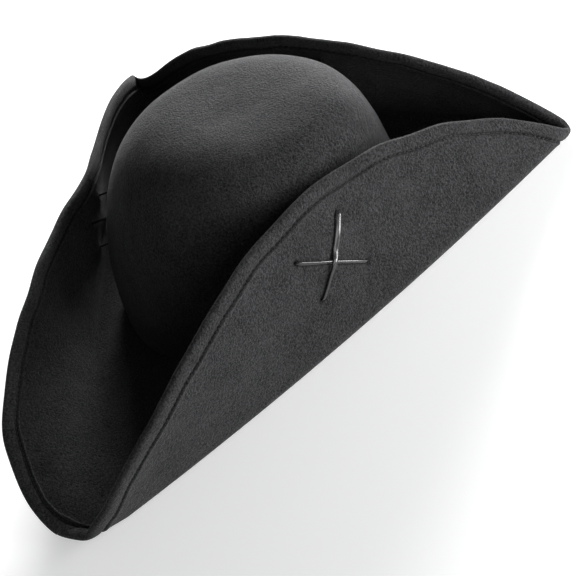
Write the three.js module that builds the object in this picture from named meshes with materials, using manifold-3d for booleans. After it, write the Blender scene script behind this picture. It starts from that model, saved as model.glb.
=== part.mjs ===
// A black felt tricorn hat, in millimetres, +Z up. Its front point faces -Y and the wearer's right is -X.
// The crown is a hollow dome. The brim is one sheet, turned up along three folds into three flaps,
// and each flap is held to the crown by two laces that cross on its outer face.
import * as THREE from "three";
import { mergeVertices } from "three/addons/utils/BufferGeometryUtils.js";
import Module from "manifold-3d";

// Felt
const FELT = 2.2; // thickness of the sheet
const GAP = 0.3; // clearance between pieces that touch
const HEM_WIDTH = 9.5; // edge of the brim, folded over to the upper side
const HEM_CUT = 0.7; // rounding of the hem's cut edge

// Crown
const CROWN_HALF_WIDTH = 88.8; // outside of the wall, at the foot
const CROWN_HALF_LENGTH = 97.4;
const CROWN_HEIGHT = 104.3;
const CROWN_SETBACK = 6.2; // middle of the head opening behind the middle of the brim
const CROWN_LEAN = 31; // how far the top stands ahead of the foot
const CROWN_TILT = 0.179; // the top rises towards the back by this share
const CROWN_TAPER = 0.117;
const CROWN_SQUARENESS = 5; // exponent of the profile: 2 is an ellipse, more is boxier

// Brim
const BRIM_RADIUS = 185.6; // the flat sheet's reach at the front point
const FOLD_RADIUS = 6.4; // of the middle of the sheet, along each fold
const FLAP_SPREAD = 150; // half length of a fold, which the flap table's columns are stated for
const FRONT_POINT = -90; // heading of the front point, degrees from +X
const REAR_POINT = 60; // headings of the rear points, degrees from the back

// Each row is one turned-up flap. heading: degrees from +X. fold: distance of the fold line from the
// middle of the head opening, as a share of the crown's half size across it. bow: how far the line
// falls back at the spread, as a share of the same size. round: how much the fold's radius grows by
// there, as a share of itself. lean: how far the flap is turned up, in degrees, at the middle of the
// fold; sway: what it gains towards the flap's left end; slack: what it gains at both ends.
const FLAPS = [
  { name: "right", heading: 211, fold: 1.191, bow: 0.072, round: 0, lean: 99.9, sway: 23.9, slack: -3.3 },
  { name: "left", heading: -31, fold: 1.191, bow: 0.072, round: 0, lean: 103.4, sway: -2.8, slack: -6.9 },
  { name: "back", heading: 90, fold: 1.168, bow: 0.243, round: 0.34, lean: 94.7, sway: -37.7, slack: -31.6 },
];
const LEAN_LEAST = 10;

// Each row is a place where the laces pull a flap in towards the crown. along and up: the middle of
// the pull, and length and width: how far it fades out each way, and depth: how far the flap comes in.
// All are shares of the flap's height.
const PULLS = [
  { flap: "back", along: -0.638, up: 0.697, length: 0.56, width: 0.42, depth: 0.12 },
];

// The flat sheet's outline. Each row is one point between the front and the back. turn: share of the
// way from the front point to a rear point, or beyond 1 from there to the back. reach: share of the
// brim's radius.
const OUTLINE = [
  { turn: 0, reach: 1.007 },
  { turn: 0.25, reach: 1.006 },
  { turn: 0.5, reach: 1.027 },
  { turn: 0.75, reach: 1.049 },
  { turn: 0.89, reach: 1.093 },
  { turn: 1, reach: 1.137 },
  { turn: 1.14, reach: 1.162 },
  { turn: 1.36, reach: 1.111 },
  { turn: 1.66, reach: 1.029 },
  { turn: 2, reach: 1.008 },
];

// Laces
const LACE_WIDTH = 3;
const LACE_THICKNESS = 1.6;
const KNOT_RADIUS = 2.4;
const LACE_LIFT = 0.45; // clearance between a lace and the flap's face
const ELBOW = 1.3; // depth of the bend where a lace enters its hole
const HUMP_REACH = 0.21; // share of a lace's run, each way, over which it rises to pass the other
// Each row is one lace, between two holes in its flap. along: a hole's place along the fold, and up:
// its place up the flap, both as shares of the flap's height. over: 1 for the upper one of a crossing.
const LACES = [
  { flap: "right", name: "rising", from_along: -0.16, from_up: 0.4, to_along: 0.26, to_up: 0.79, over: 1 },
  { flap: "right", name: "falling", from_along: -0.16, from_up: 0.75, to_along: 0.24, to_up: 0.37, over: 0 },
  { flap: "left", name: "rising", from_along: 0.16, from_up: 0.4, to_along: -0.26, to_up: 0.79, over: 1 },
  { flap: "left", name: "falling", from_along: 0.16, from_up: 0.75, to_along: -0.24, to_up: 0.37, over: 0 },
  { flap: "back", name: "rising", from_along: -0.66, from_up: 0.36, to_along: -0.36, to_up: 0.64, over: 1 },
  { flap: "back", name: "falling", from_along: -0.66, from_up: 0.68, to_along: -0.36, to_up: 0.34, over: 0 },
];

// Fineness of the faceted surfaces
const CROWN_SIDES = 52;
const CROWN_RINGS = 11;
const BRIM_STATIONS = 96;
const LACE_SIDES = 6;
const LACE_STEPS = 12;
const KNOT_SIDES = 8;
const FLAT_STEPS = 2;
const BEND_STEPS = 4;
const FLAP_STEPS = 5;
const EDGE_STEPS = 4;
const LEAST_STEP = 1.5; // shortest step across the brim
const STATION_SPACING = 14; // longest step along the edge, where it is straight
const STATION_TURN = 14; // degrees that count as much as that step

const felt = () => new THREE.MeshStandardMaterial({ color: 0x1b1b1c, roughness: 0.95 });
const cord = () => new THREE.MeshStandardMaterial({ color: 0x0b0b0c, roughness: 0.35 });
const radians = THREE.MathUtils.degToRad;
const clamp = THREE.MathUtils.clamp;

const wasm = await Module();
wasm.setup();

function solidOf(geometry) {
  const bare = geometry.clone();
  bare.deleteAttribute("normal");
  bare.deleteAttribute("uv");
  const merged = mergeVertices(bare, 1e-4);
  return new wasm.Manifold(
    new wasm.Mesh({
      numProp: 3,
      vertProperties: new Float32Array(merged.attributes.position.array),
      triVerts: new Uint32Array(merged.index.array),
    }),
  );
}

function geometryOf(solid) {
  const mesh = solid.getMesh();
  const geometry = new THREE.BufferGeometry();
  geometry.setAttribute("position", new THREE.BufferAttribute(mesh.vertProperties, 3));
  geometry.setIndex(new THREE.BufferAttribute(mesh.triVerts, 1));
  geometry.computeVertexNormals();
  return geometry;
}

// A closed surface through rings of points, joined ring to ring. Where round is false, the first and
// last rings are closed by a fan, and where it is true, they are joined to each other.
function skin(rings, round) {
  const sides = rings[0].length;
  const positions = rings.flat().flatMap((p) => [p.x, p.y, p.z]);
  const index = [];
  const last = round ? rings.length : rings.length - 1;
  for (let i = 0; i < last; i++) {
    for (let j = 0; j < sides; j++) {
      const a = i * sides + j;
      const b = i * sides + ((j + 1) % sides);
      const c = ((i + 1) % rings.length) * sides + j;
      const d = ((i + 1) % rings.length) * sides + ((j + 1) % sides);
      index.push(a, b, d, a, d, c);
    }
  }
  if (!round) {
    for (const [ring, flip] of [[0, true], [rings.length - 1, false]]) {
      const middle = new THREE.Vector3();
      rings[ring].forEach((p) => middle.addScaledVector(p, 1 / sides));
      positions.push(middle.x, middle.y, middle.z);
      const centre = positions.length / 3 - 1;
      for (let j = 0; j < sides; j++) {
        const a = ring * sides + j;
        const b = ring * sides + ((j + 1) % sides);
        index.push(...(flip ? [centre, b, a] : [centre, a, b]));
      }
    }
  }
  const geometry = new THREE.BufferGeometry();
  geometry.setAttribute("position", new THREE.Float32BufferAttribute(positions, 3));
  geometry.setIndex(index);
  geometry.computeVertexNormals();
  return geometry;
}

// Crown

// The profile's reach at a height, both as shares: 1 at the foot and 0 at the top.
function crownReach(zeta) {
  return Math.max(1 - zeta ** 2, 0) ** (1 / CROWN_SQUARENESS) * (1 - CROWN_TAPER * zeta);
}

function crownPoint(rho, zeta, phi) {
  const side = rho * Math.sin(phi);
  return new THREE.Vector3(
    CROWN_HALF_WIDTH * rho * Math.cos(phi),
    CROWN_SETBACK + CROWN_HALF_LENGTH * side - CROWN_LEAN * zeta ** 1.5,
    CROWN_HEIGHT * zeta * (1 + CROWN_TILT * side),
  );
}

// Heights up the profile, spaced evenly by length along it.
function crownHeights(count) {
  const fine = 2000; // steps for measuring the profile's length
  const size = (CROWN_HALF_WIDTH + CROWN_HALF_LENGTH) / 2;
  const lengths = [0];
  const angles = [0];
  for (let i = 1; i <= fine; i++) {
    const t = 1 - (1 - i / fine) ** 4;
    angles.push((t * Math.PI) / 2);
    const [z0, z1] = [Math.sin(angles[i - 1]), Math.sin(angles[i])];
    const reach = size * (crownReach(z1) - crownReach(z0));
    lengths.push(lengths[i - 1] + Math.hypot(reach, CROWN_HEIGHT * (z1 - z0)));
  }
  const heights = [];
  for (let i = 0; i < count; i++) {
    const wanted = (lengths[fine] * i) / (count - 0.5);
    heights.push(Math.sin(angles[lengths.findIndex((l) => l >= wanted)]));
  }
  return heights;
}

function crownNormal(zeta, phi) {
  const step = 1e-3;
  const at = (z, p) => crownPoint(crownReach(z), z, p);
  const up = at(Math.min(zeta + step, 1), phi).sub(at(Math.max(zeta - step, 0), phi));
  const round = at(zeta, phi + step).sub(at(zeta, phi - step));
  return round.cross(up).normalize();
}

function makeCrown() {
  const heights = crownHeights(CROWN_RINGS);
  const outer = [];
  const inner = [];
  for (const zeta of heights) {
    const outside = [];
    const inside = [];
    for (let j = 0; j < CROWN_SIDES; j++) {
      const phi = (2 * Math.PI * j) / CROWN_SIDES;
      const p = crownPoint(crownReach(zeta), zeta, phi);
      const n = crownNormal(zeta, phi);
      if (zeta === 0) n.setZ(0).normalize();
      outside.push(p);
      inside.push(p.clone().addScaledVector(n, -FELT));
    }
    outer.push(outside);
    inner.unshift(inside);
  }
  return skin([...inner, ...outer], false);
}

// How far a point stands outside the crown's outer face, measured level from its axis.
function outsideCrown(p) {
  let zeta = 0;
  let y = 0;
  for (let i = 0; i < 6; i++) {
    y = p.y - CROWN_SETBACK + CROWN_LEAN * zeta ** 1.5;
    zeta = clamp(p.z / (CROWN_HEIGHT * (1 + (CROWN_TILT * y) / CROWN_HALF_LENGTH)), 0, 0.999);
  }
  const share = Math.hypot(p.x / CROWN_HALF_WIDTH, y / CROWN_HALF_LENGTH);
  return Math.hypot(p.x, y) * (1 - crownReach(zeta) / share);
}

// Brim

// The crown's half size across a heading, which the flap's fold keeps clear of.
function crownHalfAcross(heading) {
  const a = radians(heading);
  return Math.hypot(CROWN_HALF_WIDTH * Math.cos(a), CROWN_HALF_LENGTH * Math.sin(a));
}

const flaps = FLAPS.map((row) => {
  const a = radians(row.heading);
  const half = crownHalfAcross(row.heading);
  const distance = row.fold * half + CROWN_SETBACK * Math.sin(a);
  return {
    ...row,
    out: new THREE.Vector2(Math.cos(a), Math.sin(a)),
    side: new THREE.Vector2(-Math.sin(a), Math.cos(a)),
    distance,
    drop: row.bow * half,
    height: BRIM_RADIUS - distance,
  };
});

// A cut across a fold: where a point ends up that lay the distance w beyond the fold line.
function bend(w, lean, radius) {
  const half = (radius * lean) / 2;
  const within = clamp(w, -half, half);
  const angle = (within + half) / radius;
  const beyond = Math.max(w - half, 0);
  return {
    shift: radius * Math.sin(angle) - (within + half) + beyond * (Math.cos(lean) - 1),
    rise: radius * (1 - Math.cos(angle)) + beyond * Math.sin(lean),
  };
}

// A flap's lean and its fold's radius, at a share of the spread from the middle of the fold.
function foldShape(flap, share) {
  const lean = flap.lean + flap.sway * share + flap.slack * share ** 2;
  return {
    lean: radians(Math.max(lean, LEAN_LEAST)),
    radius: FOLD_RADIUS * (1 + flap.round * share ** 2),
  };
}

// The middle of the folded sheet, at a point of the flat sheet.
function sheetPoint(x, y) {
  const p = new THREE.Vector3(x, y, FELT / 2);
  for (const flap of flaps) {
    const share = (flap.side.x * x + flap.side.y * y) / FLAP_SPREAD;
    const w = flap.out.x * x + flap.out.y * y - (flap.distance - flap.drop * share ** 2);
    const { lean, radius } = foldShape(flap, share);
    const { shift, rise } = bend(w, lean, radius);
    p.x += flap.out.x * shift;
    p.y += flap.out.y * shift;
    p.z += rise;
  }
  for (const pull of PULLS) {
    const { out, side, distance, height } = flaps.find(({ name }) => name === pull.flap);
    const along = (side.x * x + side.y * y) / height;
    const up = (out.x * x + out.y * y - distance) / height;
    const off = ((along - pull.along) / pull.length) ** 2 + ((up - pull.up) / pull.width) ** 2;
    const depth = pull.depth * height * Math.exp(-off);
    p.x -= out.x * depth;
    p.y -= out.y * depth;
  }
  return p;
}

function sheetNormal(x, y) {
  const step = 0.05;
  const across = sheetPoint(x + step, y).sub(sheetPoint(x - step, y));
  const along = sheetPoint(x, y + step).sub(sheetPoint(x, y - step));
  return across.cross(along).normalize();
}

function onSheet(x, y, height) {
  return sheetPoint(x, y).addScaledVector(sheetNormal(x, y), height);
}

// The flat sheet's outline: a smooth closed curve through the outline table, the same on both sides.
const outlineCurve = (() => {
  const half = OUTLINE.map(({ turn, reach }) => {
    const rear = 180 - REAR_POINT;
    const angle = turn <= 1 ? turn * rear : rear + (turn - 1) * REAR_POINT;
    return { angle, reach };
  });
  const mirrored = half.slice(1, -1).reverse().map(({ angle, reach }) => ({ angle: 360 - angle, reach }));
  return [...half, ...mirrored];
})();

function brimRadius(heading) {
  const turn = THREE.MathUtils.euclideanModulo(heading - FRONT_POINT, 360);
  const n = outlineCurve.length;
  const at = (i) => {
    const lap = Math.floor(i / n);
    const row = outlineCurve[THREE.MathUtils.euclideanModulo(i, n)];
    return { angle: row.angle + 360 * lap, reach: row.reach };
  };
  const i = outlineCurve.findLastIndex((row) => row.angle <= turn);
  const [p0, p1, p2, p3] = [at(i - 1), at(i), at(i + 1), at(i + 2)];
  const t = (turn - p1.angle) / (p2.angle - p1.angle);
  const m1 = ((p2.reach - p0.reach) / (p2.angle - p0.angle)) * (p2.angle - p1.angle);
  const m2 = ((p3.reach - p1.reach) / (p3.angle - p1.angle)) * (p2.angle - p1.angle);
  const [t2, t3] = [t * t, t * t * t];
  const reach = (2 * t3 - 3 * t2 + 1) * p1.reach + (t3 - 2 * t2 + t) * m1
    + (3 * t2 - 2 * t3) * p2.reach + (t3 - t2) * m2;
  return BRIM_RADIUS * reach;
}

// Where a ray from the middle leaves the head opening.
function openingRadius(heading) {
  const a = radians(heading);
  const [half_x, half_y] = [CROWN_HALF_WIDTH + GAP, CROWN_HALF_LENGTH + GAP];
  const k = (Math.cos(a) / half_x) ** 2 + (Math.sin(a) / half_y) ** 2;
  const m = (Math.sin(a) * CROWN_SETBACK) / half_y ** 2;
  return (m + Math.sqrt(m * m + k * (1 - (CROWN_SETBACK / half_y) ** 2))) / k;
}

// Where a ray from the middle first meets a fold line, and half the width of the bend along the ray.
function foldOnRay(heading, farthest) {
  let nearest = { radius: farthest, half: 0 };
  for (const flap of flaps) {
    const turn = radians(heading - flap.heading);
    if (Math.cos(turn) <= 0) continue;
    const beyond = (r) => r * Math.cos(turn)
      - (flap.distance - flap.drop * ((r * Math.sin(turn)) / FLAP_SPREAD) ** 2);
    let [low, high] = [0, farthest];
    for (let i = 0; i < 30; i++) {
      const middle = (low + high) / 2;
      if (beyond(middle) > 0) high = middle;
      else low = middle;
    }
    if (high < nearest.radius) {
      const { lean, radius } = foldShape(flap, (high * Math.sin(turn)) / FLAP_SPREAD);
      nearest = { radius: high, half: (radius * lean) / 2 / Math.cos(turn) };
    }
  }
  return nearest;
}

// A closed section through the brim along one heading: under the sheet from the head opening to the
// edge, round the folded edge, back over the hem, and inwards on the upper side.
function brimSection(heading) {
  const a = radians(heading);
  const place = (radius, height) => onSheet(radius * Math.cos(a), radius * Math.sin(a), height);
  const start = openingRadius(heading);
  const edge = brimRadius(heading);
  const hem = edge - HEM_WIDTH;
  const fold = foldOnRay(heading, hem);
  const bendEnd = clamp(fold.radius + fold.half, start + 2 * LEAST_STEP, hem - LEAST_STEP);
  const bendStart = clamp(fold.radius - fold.half, start + LEAST_STEP, bendEnd - LEAST_STEP);
  const steps = (from, to, count) =>
    Array.from({ length: count }, (_, i) => from + ((to - from) * i) / count);
  const radii = [
    ...steps(start, bendStart, FLAT_STEPS),
    ...steps(bendStart, bendEnd, BEND_STEPS),
    ...steps(bendEnd, hem, FLAP_STEPS),
    hem,
  ];
  const under = radii.map((r) => place(r, -FELT / 2));
  const over = radii.slice(0, -1).reverse().map((r) => place(r, FELT / 2));
  const rim = [];
  for (let i = 0; i <= EDGE_STEPS; i++) {
    const turn = (Math.PI * i) / EDGE_STEPS - Math.PI / 2;
    rim.push(place(edge - FELT + FELT * Math.cos(turn), FELT / 2 + FELT * Math.sin(turn)));
  }
  const lap = [
    place(hem + HEM_CUT, FELT * 1.5),
    place(hem, FELT * 1.5 - HEM_CUT),
    place(hem - GAP, FELT / 2),
  ];
  return [...under, ...rim, ...lap, ...over];
}

// Headings round the brim, closer together where its edge or its flaps turn sharply.
function brimHeadings(count) {
  const fine = 1440; // headings tried
  const path = (share) => {
    const points = [];
    for (let i = 0; i <= fine; i++) {
      const heading = FRONT_POINT + (360 * i) / fine;
      const r = openingRadius(heading) + share * (brimRadius(heading) - openingRadius(heading));
      points.push(sheetPoint(r * Math.cos(radians(heading)), r * Math.sin(radians(heading))));
    }
    return points;
  };
  const paths = [path(1), path(0.8)];
  const cost = [0];
  for (let i = 1; i <= fine; i++) {
    let step = 0;
    for (const points of paths) {
      const before = points[i].clone().sub(points[i - 1]);
      const after = points[(i % fine) + 1].clone().sub(points[i % fine]);
      step += before.length() / STATION_SPACING + before.angleTo(after) / radians(STATION_TURN);
    }
    cost.push(cost[i - 1] + step);
  }
  const headings = [];
  for (let i = 0; i < count; i++) {
    const wanted = (cost[fine] * i) / count;
    const k = cost.findIndex((c) => c >= wanted);
    headings.push(FRONT_POINT + (360 * k) / fine);
  }
  return headings;
}

function makeBrim() {
  return skin(brimHeadings(BRIM_STATIONS).map(brimSection).reverse(), true);
}

// Laces

// A flattened strip along a path, whose width lies along the given direction at each point. extra
// widens it all round.
function strip(path, widths, extra) {
  const rings = path.map((p, i) => {
    const before = path[Math.max(i - 1, 0)];
    const after = path[Math.min(i + 1, path.length - 1)];
    const tangent = after.clone().sub(before).normalize();
    const wide = widths[i].clone().addScaledVector(tangent, -widths[i].dot(tangent)).normalize();
    const thick = tangent.clone().cross(wide);
    const ring = [];
    for (let j = 0; j < LACE_SIDES; j++) {
      const a = (2 * Math.PI * (j + 0.5)) / LACE_SIDES;
      ring.push(p.clone()
        .addScaledVector(wide, (LACE_WIDTH / 2 + extra) * Math.cos(a))
        .addScaledVector(thick, (LACE_THICKNESS / 2 + extra) * Math.sin(a)));
    }
    return ring;
  });
  return skin(rings, false);
}

// One lace from hole to hole over the flap's outer face, with a leg at each end that passes the flap
// and the crown's wall and ends in a knot inside. It rises by over, at the share crossing of its run,
// to pass another lace.
function makeLace(flap, ends, crossing, over) {
  const level = FELT / 2 + LACE_LIFT + LACE_THICKNESS / 2;
  const inward = new THREE.Vector3(-flap.out.x, -flap.out.y, 0);
  const run = [];
  const faces = [];
  for (let i = 0; i <= LACE_STEPS; i++) {
    const t = i / LACE_STEPS;
    const along = ends[0][0] + (ends[1][0] - ends[0][0]) * t;
    const up = ends[0][1] + (ends[1][1] - ends[0][1]) * t;
    const x = flap.out.x * (flap.distance + up) + flap.side.x * along;
    const y = flap.out.y * (flap.distance + up) + flap.side.y * along;
    const hump = Math.cos((Math.min(Math.abs(t - crossing) / HUMP_REACH, 1) * Math.PI) / 2) ** 2;
    run.push(onSheet(x, y, -(level + over * hump)));
    faces.push(sheetNormal(x, y));
  }
  const course = run[LACE_STEPS].clone().sub(run[0]).normalize();
  const wide = course.clone().cross(inward).normalize();
  const widths = faces.slice(1, -1).map((face) => course.clone().cross(face).normalize());
  const leg = (corner, back) => {
    // The corner is rounded, then the leg runs inward until the knot stands clear of the crown's wall.
    const foot = corner.clone().addScaledVector(inward, ELBOW);
    let length = ELBOW;
    const clear = FELT + KNOT_RADIUS + 3 * GAP;
    while (outsideCrown(corner.clone().addScaledVector(inward, length)) > -clear) length += GAP;
    const end = corner.clone().addScaledVector(inward, length);
    const round = corner.clone().addScaledVector(back, ELBOW / 5).addScaledVector(inward, ELBOW / 5);
    return { round, foot, end };
  };
  const first = leg(run[0], course);
  const second = leg(run[LACE_STEPS], course.clone().negate());
  const middle = run.slice(1, -1);
  const path = [first.end, first.foot, first.round, ...middle, second.round, second.foot, second.end];
  const legs = [wide, wide, wide];
  let solid = solidOf(strip(path, [...legs, ...widths, ...legs], 0));
  const holes = [];
  for (const { foot, end } of [first, second]) {
    const knot = new THREE.SphereGeometry(KNOT_RADIUS, KNOT_SIDES, KNOT_SIDES - 2);
    knot.translate(end.x, end.y, end.z);
    solid = solid.add(solidOf(knot));
    const outside = foot.clone().addScaledVector(inward, -2 * ELBOW - FELT);
    holes.push(solidOf(strip([outside, end], [wide, wide], GAP)));
  }
  return { solid, holes };
}

// The holes of a lace, as places along and up its flap.
function laceEnds(row, flap) {
  return [
    [row.from_along * flap.height, row.from_up * flap.height],
    [row.to_along * flap.height, row.to_up * flap.height],
  ];
}

// The share of one lace's run where it meets another.
function crossingShare([a, b], [c, d]) {
  const [run_x, run_y] = [b[0] - a[0], b[1] - a[1]];
  const [other_x, other_y] = [d[0] - c[0], d[1] - c[1]];
  return ((c[0] - a[0]) * other_y - (c[1] - a[1]) * other_x) / (run_x * other_y - run_y * other_x);
}

const hat = new THREE.Group();
let crown = solidOf(makeCrown());
let brim = solidOf(makeBrim());
for (const row of LACES) {
  const flap = flaps.find(({ name }) => name === row.flap);
  const other = LACES.find((one) => one.flap === row.flap && one.name !== row.name);
  const ends = laceEnds(row, flap);
  const crossing = crossingShare(ends, laceEnds(other, flap));
  const rise = row.over * (LACE_THICKNESS + GAP);
  const { solid, holes } = makeLace(flap, ends, crossing, rise);
  for (const hole of holes) {
    brim = brim.subtract(hole);
    crown = crown.subtract(hole);
  }
  const lace = new THREE.Mesh(geometryOf(solid), cord());
  lace.name = `lace_${row.flap}_${row.name}`;
  hat.add(lace);
}
const crownMesh = new THREE.Mesh(geometryOf(crown), felt());
crownMesh.name = "crown";
const brimMesh = new THREE.Mesh(geometryOf(brim), felt());
brimMesh.name = "brim";
hat.add(crownMesh, brimMesh);

// The origin is the middle of the outline seen from above, on the surface that the hat rests on.
const box = new THREE.Box3().setFromObject(hat);
const middle = box.getCenter(new THREE.Vector3());
hat.position.set(-middle.x, -middle.y, -box.min.z);

export default hat;
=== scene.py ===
"""Looks of the tricorn hat, in metres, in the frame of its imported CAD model."""
import math

import bpy
import numpy as np
from mathutils import Matrix, Vector


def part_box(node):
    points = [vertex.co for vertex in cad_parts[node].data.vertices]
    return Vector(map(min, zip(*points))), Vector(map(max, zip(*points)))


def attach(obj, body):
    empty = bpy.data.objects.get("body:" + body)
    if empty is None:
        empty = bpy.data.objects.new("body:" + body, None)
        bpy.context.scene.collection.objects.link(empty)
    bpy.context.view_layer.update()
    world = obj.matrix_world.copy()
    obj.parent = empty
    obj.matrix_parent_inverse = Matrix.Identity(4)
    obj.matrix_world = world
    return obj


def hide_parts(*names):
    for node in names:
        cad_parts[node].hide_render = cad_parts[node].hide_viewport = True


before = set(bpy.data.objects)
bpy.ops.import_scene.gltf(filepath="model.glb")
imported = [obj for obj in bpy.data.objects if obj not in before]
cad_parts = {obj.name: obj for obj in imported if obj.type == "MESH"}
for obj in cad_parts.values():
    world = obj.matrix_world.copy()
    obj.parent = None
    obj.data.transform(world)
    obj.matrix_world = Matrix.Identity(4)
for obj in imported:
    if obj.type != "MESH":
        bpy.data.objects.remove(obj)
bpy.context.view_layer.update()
rng = np.random.default_rng(7)

# Camera

CAMERA_PLACE = (-0.48823, -0.17822, 0.43278)
CAMERA_HEADING = math.radians(-66.926)
CAMERA_DIP = math.radians(41.803)
CAMERA_ROLL = math.radians(34.976)
CAMERA_LENS = 69.45  # mm
SENSOR_WIDTH = 36  # mm
NEAREST = 0.01


def make_camera():
    ahead = Vector((
        -math.sin(CAMERA_HEADING) * math.cos(CAMERA_DIP),
        math.cos(CAMERA_HEADING) * math.cos(CAMERA_DIP),
        -math.sin(CAMERA_DIP),
    ))
    level = Vector((math.cos(CAMERA_HEADING), math.sin(CAMERA_HEADING), 0))
    upright = level.cross(ahead)
    camera_x = level * math.cos(CAMERA_ROLL) - upright * math.sin(CAMERA_ROLL)
    camera_y = level * math.sin(CAMERA_ROLL) + upright * math.cos(CAMERA_ROLL)
    camera = bpy.data.objects.new("camera", bpy.data.cameras.new("camera"))
    camera.data.lens = CAMERA_LENS
    camera.data.sensor_width = SENSOR_WIDTH
    camera.data.clip_start = NEAREST
    turn = Matrix((camera_x, camera_y, -ahead)).transposed().to_4x4()
    camera.matrix_world = Matrix.Translation(CAMERA_PLACE) @ turn
    bpy.context.scene.collection.objects.link(camera)
    bpy.context.scene.camera = camera


make_camera()

# Sizes of the CAD model, in millimetres, with headings in degrees from +X

FELT = 2.2  # thickness
HEM_WIDTH = 9.5  # edge of the brim, folded over to the upper side
CROWN_HALF_WIDTH = 88.8
CROWN_HALF_LENGTH = 97.4
CROWN_HEIGHT = 104.3
CROWN_SETBACK = 6.2  # middle of the head opening behind the middle of the brim
CROWN_LEAN = 31.0  # how far the top stands ahead of the foot
CROWN_TILT = 0.179  # the top rises towards the back by this share
CROWN_TAPER = 0.117
CROWN_SQUARENESS = 5.0  # exponent of the profile
BRIM_RADIUS = 185.6
FOLD_RADIUS = 6.4
FLAP_SPREAD = 150.0
LEAN_LEAST = 10.0
FRONT_POINT = -90.0
REAR_POINT = 60.0
FLAPS = {
    # name: heading, fold, bow, round, lean, sway, slack
    "right": (211, 1.191, 0.072, 0, 99.9, 23.9, -3.3),
    "left": (-31, 1.191, 0.072, 0, 103.4, -2.8, -6.9),
    "back": (90, 1.168, 0.243, 0.34, 94.7, -37.7, -31.6),
}
PULLS = [
    # flap, along, up, length, width, depth
    ("back", -0.638, 0.697, 0.56, 0.42, 0.12),
]
OUTLINE = [
    # turn, reach
    (0, 1.007),
    (0.25, 1.006),
    (0.5, 1.027),
    (0.75, 1.049),
    (0.89, 1.093),
    (1, 1.137),
    (1.14, 1.162),
    (1.36, 1.111),
    (1.66, 1.029),
    (2, 1.008),
]
LACES = {
    # name: flap, from along, from up, to along, to up, over
    "lace_right_rising": ("right", -0.16, 0.4, 0.26, 0.79, 1),
    "lace_right_falling": ("right", -0.16, 0.75, 0.24, 0.37, 0),
    "lace_left_rising": ("left", 0.16, 0.4, -0.26, 0.79, 1),
    "lace_left_falling": ("left", 0.16, 0.75, -0.24, 0.37, 0),
    "lace_back_rising": ("back", -0.66, 0.36, -0.36, 0.64, 1),
    "lace_back_falling": ("back", -0.66, 0.68, -0.36, 0.34, 0),
}

# Sizes of what the CAD model leaves out, in millimetres

STITCH_INSET = 7.6  # from the brim's edge to its stitch line
STITCH_PITCH = 3.0
STITCH_SHARE = 0.86  # of the pitch, which one stitch covers
STITCH_RADIUS = 0.24
STITCH_FORM = (0.5, 0.9, 1, 1, 0.9, 0.5)  # shares of the radius along a stitch
STITCH_SIDES = 6
STITCH_RISE = 0.22  # a stitch's ends over the felt, and its middle over its ends
STITCH_WANDER = 0.06
BRIM_STATIONS = 880
FINE_HEADINGS = 4321  # from which those stations are chosen
CROWN_SIDES = 300
CROWN_RINGS = 92
INNER_RING_SKIP = 4  # the crown's inside has one ring for this many outside

FLAP_RISE_LOW = 4  # the standing felt is uneven from here beyond its fold line
FLAP_RISE_HIGH = 26  # to here, where it has its full unevenness
CROWN_RISE_LOW = 3  # the same over the crown's height
CROWN_RISE_HIGH = 20
SWELL = 0.9  # of the felt round a lace's hole
SWELL_REACH = 7
PIT_DEPTH = 1.1  # of a lace's hole in the outer face
HOLE_RISE_INSIDE = 0.5  # of the felt round it on the inner face
PIT_REACH = 1.9
# how far the painted shade in a lace's hole reaches
PIT_PAINTED_SHADE_REACH = 1.7
PUCKER = 0.16
PUCKER_REACH = 4.5
PUCKER_FOLDS = 5
CREASE_RISE = 0.3
# how much painted shade lies along the faint crease
CREASE_PAINTED_SHADE = 0.3
CREASE_REACH = 1.1
CREASE = [
    # along and up the right flap, as shares of its height
    (0.38, 0.6),
    (0.36, 0.57),
    (0.3, 0.47),
    (0.23, 0.37),
    (0.17, 0.25),
    (0.1, 0.14),
]

MILLIMETRE = 0.001
crown_low, crown_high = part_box("crown")
SHIFT = np.array([
    (crown_low[0] + crown_high[0]) / 2 / MILLIMETRE,
    crown_high[1] / MILLIMETRE - CROWN_SETBACK - CROWN_HALF_LENGTH,
    0,
])


def unit(v):
    return v / np.maximum(np.linalg.norm(v, axis=-1, keepdims=True), 1e-9)


def step_between(x, low, high):
    t = np.clip((x - low) / (high - low), 0, 1)
    return t * t * (3 - 2 * t)


def hill(distance, reach):
    """1 at no distance, falling to almost nothing at twice the reach."""
    return np.exp(-((distance / reach) ** 2))


def waves(count, shortest, longest, size, seed):
    """A smooth uneven field over two or three coordinates, in mm, as a sum of waves."""
    r = np.random.default_rng(seed)
    length = r.uniform(shortest, longest, count)
    course = unit(r.normal(size=(count, 3)))
    phase = r.uniform(0, 2 * np.pi, count)
    gain = size * math.sqrt(2 / count)

    def field(points):
        courses = course[:, : points.shape[-1]]
        turns = points @ (courses / length[:, None]).T * 2 * np.pi + phase
        return gain * np.sin(turns).sum(-1)

    return field


# Brim sheet


def make_flap(heading, fold, bow, rounding, lean, sway, slack):
    a = math.radians(heading)
    half = math.hypot(CROWN_HALF_WIDTH * math.cos(a), CROWN_HALF_LENGTH * math.sin(a))
    distance = fold * half + CROWN_SETBACK * math.sin(a)
    return {
        "out": np.array([math.cos(a), math.sin(a)]),
        "side": np.array([-math.sin(a), math.cos(a)]),
        "distance": distance,
        "drop": bow * half,
        "height": BRIM_RADIUS - distance,
        "heading": heading,
        "round": rounding,
        "lean": (lean, sway, slack),
    }


flaps = {name: make_flap(*row) for name, row in FLAPS.items()}


def on_flap(flap, along, up):
    """The point of the flat sheet that lies along and up a flap, as shares of its height."""
    height = flap["height"]
    return flap["out"] * (flap["distance"] + up * height) + flap["side"] * along * height


def fold_shape(flap, share):
    lean, sway, slack = flap["lean"]
    lean = np.radians(np.maximum(lean + sway * share + slack * share**2, LEAN_LEAST))
    return lean, FOLD_RADIUS * (1 + flap["round"] * share**2)


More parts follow.
